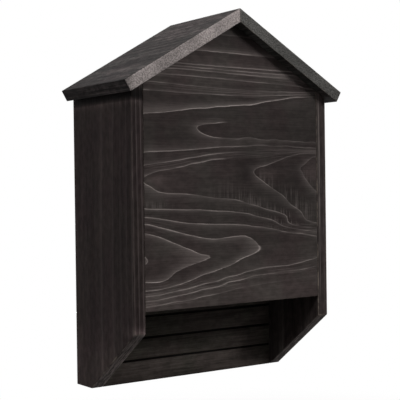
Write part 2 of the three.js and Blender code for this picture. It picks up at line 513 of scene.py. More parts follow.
@dataclass(frozen=True)
class StainFinish:
    """Stain on one board: its tones as a screen shows them, and its grain in real sizes."""

    name: str
    slot: str
    grain: GrainAxis
    field_tone: Tone
    line_tone: Tone
    end_tone: Tone
    drift_tone: Tone = (44, 43, 40)
    worn_tone: Tone = (104, 96, 88)
    rings: RingSource = RingSource.LOG
    pith: Place = (0.0, 0.0, 0.0)
    ring_pitch: float = 0.0045
    wander: float = 0.02
    waver: float = 0.0015
    waver_fineness: float = 150.0
    line_width: float = 0.0007
    glow_share: float = 0.14
    line_strength: float = 0.35
    glow_strength: float = 0.15
    echo_strength: float = 0.1
    tear_strength: float = 0.0
    streak_contrast: float = 0.2
    band_contrast: float = 0.12
    cloud_contrast: float = 0.2
    mottle_contrast: float = 0.18
    pore_contrast: float = 0.3
    pore_fineness: float = 700.0
    pore_stretch: Place = (1.0, 1.0, 0.15)
    wear: float = 0.4
    roughness: float = 0.6
    gloss: float = 0.02
    relief: float = 0.0002


@dataclass(frozen=True)
class StainedWood:
    """Makes the stained-wood material of each finish from the shared effects."""

    effects: WoodEffects
    echoes: float = 3.0
    echo_offset: float = 0.35
    sparse_slope: float = 40.0
    crowded_slope: float = 140.0
    year_contrast: float = 0.08
    faded_share: float = 0.45
    hidden_share: float = 0.7
    end_line_share: float = 0.5
    rough_swing: float = 0.16

    def _years(self, maker: TreeMaker, finish: StainFinish, turned: Wire) -> tuple[Wire, Wire, Wire]:
        """Count the years over a board, from a log or from the board's own figure.

        Args:
            maker: Maker of the material's nodes.
            finish: The board's finish.
            turned: Place from the pith, with the grain upright.

        Returns:
            Years, how many of them a metre crosses, and how strongly their lines show.
        """
        bold = maker.mark("bold") + 1.0
        if finish.rings is RingSource.FIGURE:
            names = ("growth_years", "growth_slope", "growth_strength")
            years, slope, strength = (maker.mark(name) for name in names)
            drawn = maker.stretch(turned, along=0.3)
            waver = maker.noise(drawn, finish.waver_fineness, detail=3.0, roughness=0.65)[0] - 0.5
            return years + waver * finish.waver * slope, slope, strength * bold
        feeds = {"Vector": turned, "Ring Pitch": finish.ring_pitch, "Wander": finish.wander}
        rings = maker.group(self.effects.log_rings, feeds)
        return rings["Years"], rings["Slope"], bold

    def _lines(self, maker: TreeMaker, finish: StainFinish, years: Wire, slope: Wire) -> Results:
        """Growth lines of a count of years."""
        feeds = {"Years": years, "Slope": slope, "Width": finish.line_width, "Glow Share": finish.glow_share}
        return maker.group(self.effects.growth_lines, feeds)

    def _pale(
        self, maker: TreeMaker, finish: StainFinish, turned: Wire, fibres: Results
    ) -> tuple[Wire, Wire]:
        """Draw the growth lines, their glow, their fine echoes and the planer's tears.

        Args:
            maker: Maker of the material's nodes.
            finish: The board's finish.
            turned: Place from the pith, with the grain upright.
            fibres: The board's fibres.

        Returns:
            How much of the pale tone shows, and a random tone for each year.
        """
        years, slope, strength = self._years(maker, finish, turned)
        lines = self._lines(maker, finish, years, slope)
        echoes = self._lines(maker, finish, years * self.echoes + self.echo_offset, slope * self.echoes)
        tears = maker.group(self.effects.planer_tears, {"Vector": turned, "Years": years})
        faded = maker.ramp(fibres["Fade"], low=0.0, high=1.0, start=self.faded_share)
        line_share = lines["Line"] * (strength * finish.line_strength) * faded
        glow_share = lines["Glow"] * (strength * finish.glow_strength)
        crowded = maker.ramp(slope, self.sparse_slope, self.crowded_slope)
        echo_share = echoes["Line"] * (fibres["Band"] * finish.echo_strength * crowded)
        tear_share = tears["Tear"] * (maker.mark("torn") * finish.tear_strength)
        drawn = maker.math("MAXIMUM", line_share, glow_share)
        finer = maker.math("MAXIMUM", echo_share, tear_share)
        streaked = maker.ramp(fibres["Streak"], low=0.0, high=self.hidden_share, start=self.hidden_share)
        strongest = maker.math("MAXIMUM", drawn, finer)
        return maker.math("MULTIPLY", strongest, streaked, clamp=True), lines["Year Tone"]

    def _uneven(self, maker: TreeMaker, *patterns: tuple[Wire, float]) -> Wire:
        """Product of patterns from 0 to 1, each swinging about 1 by its contrast."""
        return math.prod(maker.ramp(pattern, 0.0, 1.0, 1 - swing, 1 + swing) for pattern, swing in patterns)

    def material(self, finish: StainFinish) -> bpy.types.Material:
        """Build the material of one finish.

        Args:
            finish: The board's stain, grain and wear.

        Returns:
            The new material.
        """
        made = bpy.data.materials.new(finish.name)
        maker = surface_nodes(made)
        coordinates = maker.node("ShaderNodeTexCoord")
        away = tuple(-offset for offset in finish.pith)
        centred = maker.node("ShaderNodeMapping", {"Vector": coordinates["Object"], "Location": away})[0]
        turned = maker.node("ShaderNodeMapping", {"Vector": centred, "Rotation": finish.grain.turn})[0]
        fibres = maker.group(self.effects.fibres, {"Vector": turned})
        clouds = maker.group(self.effects.clouds, {"Vector": turned})
        wear = maker.group(self.effects.worn_arris, {"Vector": turned, "Wear": finish.wear})
        feeds = {"Vector": turned, "Normal": coordinates["Normal"], "Grain": finish.grain.direction}
        feeds |= {"Stretch": finish.pore_stretch, "Fineness": finish.pore_fineness}
        ends = maker.group(self.effects.end_grain, feeds)
        pale, year_tone = self._pale(maker, finish, turned, fibres)

        cloudy = (clouds["Cloud"], finish.cloud_contrast)
        side_level = self._uneven(
            maker,
            cloudy,
            (clouds["Mottle"], finish.mottle_contrast),
            (fibres["Streak"], finish.streak_contrast),
            (fibres["Band"], finish.band_contrast),
            (year_tone, self.year_contrast),
        )
        end_level = self._uneven(maker, cloudy, (ends["Pores"], finish.pore_contrast))
        ground = maker.blend(clouds["Drift"], linear(finish.field_tone), linear(finish.drift_tone))
        side = maker.blend(pale, maker.scaled(ground, side_level), linear(finish.line_tone))
        end = maker.blend(pale * self.end_line_share, linear(finish.end_tone), linear(finish.line_tone))
        wood = maker.blend(ends["Cut Across"], side, maker.scaled(end, end_level))
        # Raise or lower the tone by the board's shift mark, in stops: stain that took more or less, and on
        # some boards painted shade and painted light.
        patched = maker.scaled(wood, maker.math("POWER", 2.0, maker.mark("stain_shift")))
        worn = wear["Rubbed"] * (maker.mark("rubbed") + finish.wear)

        ridge = pale * 0.5 + fibres["Streak"] * 0.5
        height = ridge * (1.0 - ends["Cut Across"]) + ends["Pores"] * ends["Cut Across"]
        feeds = {"Height": height, "Distance": finish.relief, "Strength": 1.0}
        feeds = {
            "Base Color": maker.blend(worn, patched, linear(finish.worn_tone)),
            "Roughness": (fibres["Streak"] - 0.5) * self.rough_swing + finish.roughness,
            "Specular IOR Level": finish.gloss,
            "Normal": maker.node("ShaderNodeBump", feeds)[0],
        }
        maker.principled(feeds)
        return made


@dataclass(frozen=True)
class ZincFinish:
    """Zinc plating on the screws."""

    name: str = "zinc_plated_steel"
    slot: str = "screw_steel"
    tone: Tone = (196, 198, 200)
    dull_tone: Tone = (142, 144, 143)
    patch_fineness: float = 420.0
    roughness: float = 0.34
    dull_roughness: float = 0.54

    def material(self) -> bpy.types.Material:
        """Build the plating with dull patches.

        Returns:
            The new material.
        """
        made = bpy.data.materials.new(self.name)
        maker = surface_nodes(made)
        where = maker.node("ShaderNodeTexCoord")["Object"]
        spots = maker.noise(where, self.patch_fineness, detail=3.0, roughness=0.6)[0]
        patch = maker.ramp(spots, low=0.35, high=0.7)
        feeds = {
            "Base Color": maker.blend(patch, linear(self.tone), linear(self.dull_tone)),
            "Roughness": maker.ramp(patch, 0.0, 1.0, self.roughness, self.dull_roughness),
            "Metallic": 1.0,
        }
        maker.principled(feeds)
        return made


SIDE_LEFT = StainFinish(
    name="side_stain_left",
    slot="side_wood",
    grain=GrainAxis.UPRIGHT,
    field_tone=(37, 30, 30),
    drift_tone=(38, 32, 31),
    line_tone=(104, 95, 93),
    end_tone=(72, 65, 63),
    pith=(0.08, -0.03, 0.0),
    ring_pitch=0.0055,
    wander=0.008,
    streak_contrast=0.08,
    line_strength=0.16,
    pore_contrast=0.6,
    band_contrast=0.08,
    mottle_contrast=0.24,
    echo_strength=0.02,
    wear=0.22,
    pore_fineness=300.0,
    pore_stretch=(1.0, 0.2, 0.15),
)
SIDE_RIGHT = StainFinish(
    name="side_stain_right",
    slot="side_wood",
    grain=GrainAxis.UPRIGHT,
    field_tone=(42, 36, 35),
    drift_tone=(44, 39, 38),
    line_tone=(124, 116, 112),
    end_tone=(72, 65, 63),
    pith=(-0.102, -0.04, 3.0),
    ring_pitch=0.012,
    wander=0.003,
    line_strength=0.3,
    wear=0.38,
    pore_contrast=0.6,
    pore_fineness=300.0,
    pore_stretch=(1.0, 0.2, 0.15),
    line_width=0.0014,
    mottle_contrast=0.22,
)
FRONT = StainFinish(
    name="front_stain",
    slot="front_wood",
    grain=GrainAxis.ACROSS,
    field_tone=(43, 37, 36),
    drift_tone=(45, 41, 39),
    line_tone=(158, 148, 144),
    end_tone=(58, 52, 50),
    rings=RingSource.FIGURE,
    glow_share=0.17,
    line_strength=0.72,
    glow_strength=0.17,
    echo_strength=0.12,
    tear_strength=0.26,
    wear=0.2,
    streak_contrast=0.07,
    band_contrast=0.07,
    mottle_contrast=0.14,
    cloud_contrast=0.15,
)
LANDING = StainFinish(
    name="landing_stain",
    slot="back_wood",
    grain=GrainAxis.ACROSS,
    field_tone=(58, 55, 50),
    drift_tone=(60, 54, 51),
    line_tone=(84, 78, 73),
    end_tone=(66, 62, 58),
    pith=(1.0, 0.03, -0.28),
    ring_pitch=0.008,
    line_strength=0.25,
)
ROOF_LEFT = StainFinish(
    name="roof_stain_left",
    slot="roof_wood",
    grain=GrainAxis.DEPTH,
    field_tone=(43, 38, 38),
    drift_tone=(43, 40, 39),
    line_tone=(110, 104, 101),
    end_tone=(120, 113, 111),
    pith=(-0.1, 0.5, 0.0),
    ring_pitch=0.008,
    streak_contrast=0.6,
    band_contrast=0.35,
    cloud_contrast=0.25,
    mottle_contrast=0.55,
    pore_contrast=0.35,
    pore_fineness=520.0,
    wear=0.12,
    worn_tone=(140, 132, 128),
)
ROOF_RIGHT = StainFinish(
    name="roof_stain_right",
    slot="roof_wood",
    grain=GrainAxis.DEPTH,
    field_tone=(46, 42, 41),
    drift_tone=(45, 44, 42),
    line_tone=(96, 90, 86),
    end_tone=(65, 64, 62),
    pith=(0.09, 1.5, 0.0),
    ring_pitch=0.008,
    streak_contrast=0.45,
    pore_contrast=0.5,
)
PARTITION_FRONT = StainFinish(
    name="partition_stain_front",
    slot="inner_wood",
    grain=GrainAxis.ACROSS,
    field_tone=(48, 44, 40),
    line_tone=(70, 64, 58),
    end_tone=(56, 52, 47),
    pith=(2.0, 0.0, -0.1),
)
PARTITION_REAR = replace(PARTITION_FRONT, name="partition_stain_rear", pith=(3.0, -0.03, -0.16))
SPACER = replace(PARTITION_FRONT, name="spacer_stain", grain=GrainAxis.UPRIGHT, pith=(0.0, 0.02, 0.7))
CLEAT = StainFinish(
    name="cleat_stain",
    slot="rail_wood",
    grain=GrainAxis.ACROSS,
    field_tone=(46, 42, 39),
    line_tone=(74, 68, 63),
    end_tone=(62, 57, 53),
    pith=(4.0, 0.02, -0.04),
)
BATTEN = replace(CLEAT, name="batten_stain", pith=(5.0, -0.04, -0.3))


@dataclass(frozen=True)
class GrowthLine:
    """Stretch of a growth line on the front panel.

    Its points are shares of the panel: across from the left edge, and down from the peak to the lower edge.
    """

    year: float
    strength: float
    point_shares: tuple[tuple[float, float], ...]
    straight: bool = False
    straight_step_share: float = 0.06

    def places(self) -> list[np.ndarray]:
        """Its points, with more between them where it runs straight from one to the next.

        Returns:
            Shares of each point.
        """
        points = [np.array(share) for share in self.point_shares]
        placed = points[:1]
        for start, end in zip(points, points[1:]):
            stretches = math.ceil(abs(end[0] - start[0]) / self.straight_step_share) if self.straight else 1
            placed += [start + (end - start) * step / stretches for step in range(1, stretches + 1)]
        return placed


def line(year: float, strength: float, *point_shares: tuple[float, float]) -> GrowthLine:
    """Growth line that bends softly through its points."""
    return GrowthLine(year, strength, point_shares)


def straight(year: float, strength: float, *point_shares: tuple[float, float]) -> GrowthLine:
    """Growth line that runs straight from point to point."""
    return GrowthLine(year, strength, point_shares, straight=True)


# Stretches of the lines that show, roughly from the peak down.
FRONT_GROWTH_LINES = (
    straight(-1, 0.4, (0.3, 0.043), (0.48, 0.045), (0.7, 0.047)),
    straight(0, 0.9, (0.3, 0.104), (0.45, 0.105), (0.6, 0.107), (0.7, 0.108)),
    straight(1, 0.65, (0.17, 0.157), (0.45, 0.158), (0.85, 0.159)),
    straight(2, 0.35, (0.17, 0.165), (0.45, 0.168), (0.85, 0.171)),
    straight(3, 0.5, (0.17, 0.172), (0.39, 0.175), (0.53, 0.179), (0.85, 0.183)),
    straight(4, 0.35, (0.1, 0.195), (0.39, 0.2), (0.9, 0.208)),
    straight(5, 0.35, (0.05, 0.224), (0.25, 0.231), (0.53, 0.236), (0.75, 0.237)),
    straight(5, 0.2, (0.84, 0.236), (1.0, 0.23)),
    straight(6, 0.6, (0.0, 0.252), (0.2, 0.255), (0.42, 0.256), (0.53, 0.255)),
    straight(6, 0.2, (0.62, 0.252), (0.78, 0.246), (1.0, 0.236)),
    line(7, 1.0, (0.0, 0.333), (0.1, 0.326), (0.2, 0.317)),
    line(7, 1.4, (0.33, 0.307), (0.45, 0.296), (0.6, 0.287), (0.66, 0.277), (0.7, 0.27)),
    line(7, 1.4, (0.78, 0.262), (0.84, 0.253), (0.88, 0.249)),
    line(7, 0.2, (0.95, 0.246), (1.0, 0.243)),
    line(8, 0.9, (0.38, 0.358), (0.33, 0.362), (0.28, 0.371), (0.3, 0.388), (0.33, 0.398), (0.36, 0.404)),
    line(8, 0.7, (0.44, 0.41), (0.52, 0.412), (0.64, 0.412), (0.7, 0.413), (0.78, 0.415)),
    line(8, 0.6, (0.86, 0.418), (0.93, 0.421), (1.0, 0.423)),
    line(8, 0.8, (0.0, 0.462), (0.1, 0.458), (0.2, 0.454), (0.33, 0.447), (0.36, 0.445), (0.5, 0.44)),
    line(8, 0.6, (0.64, 0.434), (0.7, 0.435), (0.78, 0.437), (0.86, 0.44), (0.93, 0.442), (1.0, 0.444)),
    line(9, 0.75, (0.0, 0.507), (0.1, 0.497), (0.2, 0.487), (0.3, 0.476), (0.36, 0.468)),
    line(9, 0.1, (0.55, 0.456), (0.64, 0.452), (0.72, 0.449), (0.8, 0.447), (0.9, 0.448), (1.0, 0.449)),
    line(10, 0.8, (0.0, 0.545), (0.02, 0.538), (0.07, 0.525), (0.15, 0.517), (0.25, 0.5), (0.36, 0.485)),
    line(10, 0.1, (0.5, 0.476), (0.6, 0.472), (0.7, 0.466), (0.8, 0.458), (0.9, 0.452), (1.0, 0.453)),
    line(10, 0.8, (0.0, 0.565), (0.03, 0.575), (0.05, 0.585), (0.07, 0.595), (0.12, 0.601), (0.2, 0.603)),
    line(10, 0.8, (0.3, 0.612), (0.4, 0.623), (0.5, 0.627), (0.57, 0.642), (0.68, 0.665), (0.77, 0.68)),
    line(10, 0.8, (0.81, 0.695), (0.82, 0.72)),
    line(10, 0.1, (0.88, 0.733), (1.0, 0.742)),
    line(11, 0.8, (0.61, 0.522), (0.68, 0.507), (0.78, 0.483), (0.85, 0.467), (0.9, 0.459)),
    line(11, 0.2, (0.95, 0.457), (1.0, 0.458)),
    line(11, 0.8, (0.61, 0.535), (0.65, 0.555), (0.7, 0.58), (0.76, 0.605), (0.8, 0.625), (0.84, 0.655)),
    line(11, 0.8, (0.9, 0.68)),
    line(11, 0.4, (0.92, 0.7), (1.0, 0.722)),
    line(12, 0.8, (0.893, 0.51), (0.93, 0.495), (1.0, 0.47)),
    line(12, 0.8, (0.91, 0.53), (0.93, 0.555), (0.96, 0.58), (0.99, 0.6)),
    line(9, 0.8, (0.0, 0.652), (0.1, 0.654), (0.3, 0.66), (0.45, 0.668), (0.57, 0.678), (0.66, 0.695)),
    line(9, 0.8, (0.72, 0.705)),
    line(9, 0.1, (0.85, 0.738), (1.0, 0.756)),
    line(8, 0.8, (0.0, 0.68), (0.1, 0.69), (0.2, 0.703), (0.35, 0.711), (0.5, 0.716), (0.6, 0.725)),
    line(8, 0.8, (0.75, 0.742), (0.9, 0.758), (1.0, 0.772)),
    line(7, 1.0, (0.0, 0.702), (0.1, 0.72), (0.2, 0.74), (0.3, 0.757), (0.38, 0.765), (0.45, 0.761)),
    line(7, 1.0, (0.55, 0.757), (0.59, 0.77), (0.62, 0.79), (0.64, 0.805), (0.6, 0.825), (0.52, 0.842)),
    line(7, 1.0, (0.42, 0.868), (0.32, 0.885), (0.25, 0.903), (0.15, 0.92), (0.0, 0.93)),
    line(6, 1.0, (0.0, 0.735), (0.08, 0.75), (0.18, 0.78), (0.25, 0.8), (0.3, 0.818), (0.36, 0.83)),
    line(6, 1.0, (0.28, 0.845), (0.2, 0.86), (0.15, 0.875), (0.1, 0.9), (0.0, 0.9)),
    line(5, 0.8, (0.0, 0.815), (0.015, 0.83), (0.0, 0.84)),
    line(8, 0.7, (0.0, 0.948), (0.1, 0.945), (0.25, 0.93), (0.4, 0.915), (0.5, 0.9), (0.6, 0.885)),
    line(8, 0.7, (0.7, 0.878), (0.8, 0.878), (0.9, 0.868), (1.0, 0.855)),
    line(9, 0.6, (0.0, 0.965), (0.15, 0.955), (0.3, 0.94), (0.45, 0.92)),
    line(9, 0.2, (0.6, 0.905), (0.8, 0.897), (1.0, 0.885)),
    line(10, 0.4, (0.0, 0.985), (0.15, 0.975), (0.3, 0.965)),
    line(10, 0.1, (0.45, 0.952), (0.6, 0.94), (0.8, 0.93), (1.0, 0.92)),
)
# Points that hold the figure in shape between those lines and past them.
FRONT_GROWTH_HOLDS = (
    line(-1, 0.4, (0.5, 0.0)),
    line(0, 0.0, (0.15, 0.103), (0.24, 0.104), (0.76, 0.109), (0.9, 0.11)),
    line(8, 0.0, (0.5, 0.352), (0.64, 0.345), (0.8, 0.335), (0.9, 0.33), (1.0, 0.325)),
    straight(-0.5, 0.6, (0.3, 0.074), (0.7, 0.078)),
    straight(0.25, 0.5, (0.15, 0.13), (0.9, 0.134)),
    straight(0.6, 0.6, (0.15, 0.145), (0.9, 0.148)),
    line(5.4, 0.4, (0.1, 0.82)),
    line(6.4, 0.4, (0.45, 0.81)),
    line(7.4, 0.4, (0.2, 0.39), (0.12, 0.4), (0.85, 0.81), (1.0, 0.81)),
    line(7.5, 0.0, (0.7, 0.325), (0.82, 0.305), (0.92, 0.29), (1.0, 0.285)),
    line(7.7, 0.4, (0.45, 0.426), (0.56, 0.426), (0.72, 0.425), (0.86, 0.429), (1.0, 0.434), (0.3, 0.42)),
    line(8.4, 0.4, (0.45, 0.385), (0.72, 0.37), (1.0, 0.35)),
    line(10.4, 0.4, (0.3, 0.55), (0.48, 0.53)),
    line(10.7, 0.1, (0.0, 1.0), (0.25, 1.0), (0.5, 1.0), (0.75, 1.0), (1.0, 1.0)),
    line(10.75, 0.4, (0.555, 0.528)),
    line(11.2, 0.4, (0.66, 0.53)),
    line(11.5, 0.4, (0.78, 0.55), (0.97, 0.65), (0.88, 0.61)),
    line(11.7, 0.8, (0.91, 0.49), (0.95, 0.474)),
    line(12.4, 0.4, (0.97, 0.54)),
)


@dataclass
class GrowthFigure:
    """Smooth field of years over a panel, bent as little as it can be through the growth lines' points.

    A thin plate passes close by every point, and a line is drawn where the field is a whole number.
    """

    lines: tuple[GrowthLine, ...]
    width: float
    height: float
    squeeze: float = 0.45
    softness: float = 1e-4
    strength_reach: float = 0.012
    least_pull: float = 1e-9
    least_apart: float = 1e-12
    years_before: int = 20
    step: float = 0.0005
    least_slope: float = 20.0
    knots: np.ndarray = field(init=False)
    weights: np.ndarray = field(init=False)
    strengths: np.ndarray = field(init=False)

    def __post_init__(self) -> None:
        """Solve for the plate's weights."""
        placed = [(stretch, share) for stretch in self.lines for share in stretch.places()]
        years = [stretch.year for stretch, _ in placed]
        self.strengths = np.array([stretch.strength for stretch, _ in placed])
        self.knots = self._drawn_in(np.array([share for _, share in placed]))
        count = len(self.knots)
        sides = np.hstack([np.ones((count, 1)), self.knots])
        system = np.zeros((count + 3, count + 3))
        system[:count, :count] = self._bending(self.knots) + self.softness * np.eye(count)
        system[:count, count:] = sides
        system[count:, :count] = sides.T
        self.weights = np.linalg.solve(system, np.concatenate([years, np.zeros(3)]))

    def _drawn_in(self, shares: np.ndarray) -> np.ndarray:
        """Shares in units of the height, drawn in along the grain, where a figure changes slowly."""
        return shares * np.array([self.squeeze * self.width / self.height, 1.0])

    def _apart(self, points: np.ndarray) -> np.ndarray:
        """Distance of each point from each knot."""
        return np.linalg.norm(points[:, None] - self.knots[None], axis=2)

    def _bending(self, points: np.ndarray) -> np.ndarray:
        """Pull of each knot at each point of a thin plate."""
        apart = self._apart(points)
        return apart**2 * np.log(np.maximum(apart, self.least_apart))

    def years(self, shares: np.ndarray) -> np.ndarray:
        """Years at each point, given as shares of the panel."""
        points = self._drawn_in(shares)
        return self._bending(points) @ self.weights[:-3] + self.weights[-3] + points @ self.weights[-2:]

    def slopes(self, shares: np.ndarray) -> np.ndarray:
        """How many years a metre crosses.

        Args:
            shares: Each point's place as shares of the panel.

        Returns:
            Slope at each point, at least the least slope.
        """
        steps = np.diag([self.step / self.width, self.step / self.height])
        across, down = (self.years(shares + step) - self.years(shares - step) for step in steps)
        return np.maximum(np.hypot(across, down) / (2 * self.step), self.least_slope)

    def line_strengths(self, shares: np.ndarray) -> np.ndarray:
        """How strongly the lines near each point show.

        Args:
            shares: Each point's place as shares of the panel.

        Returns:
            Strength at each point.
        """
        reaches = self._apart(self._drawn_in(shares)) / self.strength_reach
        pull = np.exp(-(reaches**2) / 2) + self.least_pull
        return pull @ self.strengths / pull.sum(1)

    def mark(self, mesh: bpy.types.Mesh, shares: np.ndarray) -> None:
        """Write the figure to a panel's points.

        Args:
            mesh: The panel's mesh.
            shares: Each point's place as shares of the panel.
        """
        write_mark(mesh, "growth_years", self.years(shares) + self.years_before)
        write_mark(mesh, "growth_slope", self.slopes(shares))
        write_mark(mesh, "growth_strength", self.line_strengths(shares))


@dataclass(frozen=True)
class StainAndShadePatch:
    """Soft patch on a face, in shares of it, where a mark is raised or lowered; some stand for stain, some are
    painted shade or painted light.
    """

    across_share: float
    down_share: float
    width_share: float
    height_share: float
    amount: float

    def at(self, shares: np.ndarray) -> np.ndarray:
        """Amount at each point."""
        off = (shares - (self.across_share, self.down_share)) / (self.width_share, self.height_share)
        return self.amount * np.exp(-(off**2).sum(1))


Marks = dict[str, tuple[StainAndShadePatch, ...]]


def patches(*shares: tuple[float, float, float, float, float]) -> tuple[StainAndShadePatch, ...]:
    """Patches from the values of each."""
    return tuple(StainAndShadePatch(*values) for values in shares)


FRONT_MARKS: Marks = {
    "stain_shift": patches(
        (0.5, 0.04, 0.3, 0.07, -0.85), (0.4, 0.17, 0.45, 0.07, 0.4), (0.85, 0.4, 0.35, 0.12, -0.6),
        (0.85, 0.6, 0.35, 0.14, -0.65), (0.85, 0.97, 0.5, 0.08, 0.25), (0.3, 0.38, 0.4, 0.06, -0.1),
        (0.4, 0.62, 0.4, 0.05, -0.25), (0.1, 0.97, 0.4, 0.06, 0.8), (0.3, 0.8, 0.4, 0.1, 0.1),
        (0.68, 0.535, 0.07, 0.025, 0.9), (0.57, 0.54, 0.05, 0.05, -0.7), (0.96, 0.53, 0.05, 0.04, 0.9),
        (0.87, 0.53, 0.04, 0.05, -0.5), (0.06, 0.555, 0.06, 0.02, 0.9),
    ),
    "torn": patches(
        (0.62, 0.61, 0.16, 0.05, 1.0), (0.9, 0.62, 0.1, 0.06, 1.0), (0.8, 0.7, 0.1, 0.04, 1.0),
        (0.05, 0.63, 0.1, 0.03, 0.5),
    ),
}
SIDE_LEFT_MARKS: Marks = {
    # The second patch below is painted shade: the eave's shadow as a dark band just under the eave. The first
    # lightens a strip just below that band.
    "stain_shift": patches(
        (0.5, 0.063, 2.0, 0.009, 1.1), (0.5, 0.04, 2.0, 0.015, -3.4), (0.0, 0.5, 0.03, 1.0, 0.5),
        (0.9, 0.5, 0.25, 1.0, -0.3), (0.5, 0.5, 1.0, 0.3, -0.12), (0.4, 0.9, 0.6, 0.1, 0.75),
        (0.3, 0.97, 0.2, 0.06, 0.4), (1.0, 0.787, 0.12, 0.012, 1.5),
    ),
    "bold": patches((1.0, 0.5, 0.06, 2.0, 1.6)),
    "rubbed": patches(
        (0.9, 0.82, 0.12, 0.04, 1.0), (0.7, 0.88, 0.12, 0.04, 2.0), (0.5, 0.94, 0.12, 0.04, 2.0),
        (0.3, 0.99, 0.12, 0.04, 0.8),
    ),
}
SIDE_RIGHT_MARKS: Marks = {
    "stain_shift": patches((0.5, 0.95, 1.0, 0.1, 0.3)),
    "bold": patches((1.0, 0.3, 0.3, 0.35, 0.6), (1.0, 0.8, 0.3, 0.2, -0.8)),
    "rubbed": patches((1.0, 0.65, 0.3, 0.2, 0.9), (1.0, 0.3, 0.3, 0.25, 0.4)),
}
ROOF_LEFT_MARKS: Marks = {
    # The first patch is painted shade: it darkens the eave end, which faces down and away from the light, and
    # the slope's edge beside it.
    "stain_shift": patches((0.0, 0.5, 0.05, 9.0, -1.4), (0.25, 0.5, 0.3, 9.0, -0.15)),
}
# Painted light and shade on the landing board: lighter just below the front panel's lower edge, where its
# shade falls, and darker at the foot.
LANDING_PATCHES = patches((0.5, 1.0, 2.0, 0.06, -0.55), (0.5, 0.76, 2.0, 0.08, 0.8))


def face_shares(mesh: bpy.types.Mesh, start: Vector, end: Vector, axes: tuple[int, int]) -> np.ndarray:
    """Shares of a board's face at each of its points, across the face and down it.

    Args:
        mesh: The board's mesh.
        start: Corner where both shares are 0.
        end: Corner where both are 1.
        axes: Indexes of the axes that run across the face and down it.

    Returns:
        Both shares of each point.
    """
    places = np.zeros(len(mesh.vertices) * 3)
    mesh.vertices.foreach_get("co", places)
    kept = list(axes)
    near = np.array(start)[kept]
    return (places.reshape(-1, 3)[:, kept] - near) / (np.array(end)[kept] - near)


def write_mark(mesh: bpy.types.Mesh, name: str, values: np.ndarray) -> None:
    """Write one value for each point of a mesh under a name."""
    mesh.attributes.new(name, "FLOAT", "POINT").data.foreach_set("value", values.astype(np.float32))


def patch_marks(marked: tuple[StainAndShadePatch, ...], shares: np.ndarray) -> np.ndarray:
    """Sum of all patches at each point."""
    return sum((patch.at(shares) for patch in marked), np.zeros(len(shares)))


def write_marks(mesh: bpy.types.Mesh, marks: Marks, shares: np.ndarray) -> None:
    """Write each mark of a board to its points."""
    for name, marked in marks.items():
        write_mark(mesh, name, patch_marks(marked, shares))


def run_tree(mesh: bpy.types.Mesh, tree: bpy.types.NodeTree, inputs: dict[str, object]) -> bpy.types.Mesh:
    """Run a Geometry Nodes tree on a mesh.

    Args:
        mesh: The mesh that the tree starts from.
        tree: The tree.
        inputs: Values for the tree's inputs, by name.

    Returns:
        The result as a plain mesh.
    """
    carrier = put_in_scene(tree.name, mesh)
    modifier = carrier.modifiers.new(tree.name, "NODES")
    modifier.node_group = tree
    for socket in tree.interface.items_tree:
        if socket.in_out == "INPUT" and socket.name in inputs:
            modifier[socket.identifier] = inputs[socket.name]
    graph = bpy.context.evaluated_depsgraph_get()
    result = bpy.data.meshes.new_from_object(carrier.evaluated_get(graph))
    carrier.modifiers.remove(modifier)
    bpy.data.objects.remove(carrier)
    return result


class KerfSaw:
    """Geometry Nodes tree that saws evenly spaced kerfs across a board."""

    def __init__(self) -> None:
        """Build the tree: a line of blades, each a little off true, taken out of the board."""
        takes = {
            "First Height": 0.0,
            "Count": 10,
            "Pitch": 0.028,
            "Width": 0.003,
            "Depth": 0.0025,
            "Length": 0.3,
            "Face": 0.0,
            "Unevenness": 0.0002,
            "Seed": 3,
        }
        maker = GeometryTree("kerf_saw", takes)
        take = maker.take
        start = maker.xyz(y=take["Face"], z=take["First Height"])
        feeds = {"Count": take["Count"], "Start Location": start, "Offset": maker.xyz(z=take["Pitch"])}
        heights = maker.node("GeometryNodeMeshLine", feeds, mode="OFFSET", count_mode="TOTAL")["Mesh"]
        blade = maker.block(take["Length"], take["Depth"] * 2.0, take["Width"])
        feeds = {2: take["Unevenness"] * -1.0, 3: take["Unevenness"], "Seed": take["Seed"]}
        off = maker.node("FunctionNodeRandomValue", feeds)[1]
        blades = maker.on_points(heights, blade, maker.xyz(y=off / (take["Length"] * 0.5)))
        feeds = {"Mesh 1": take["Geometry"], "Mesh 2": maker.realized(blades)}
        self.tree = maker.finished(maker.joined("DIFFERENCE", feeds))


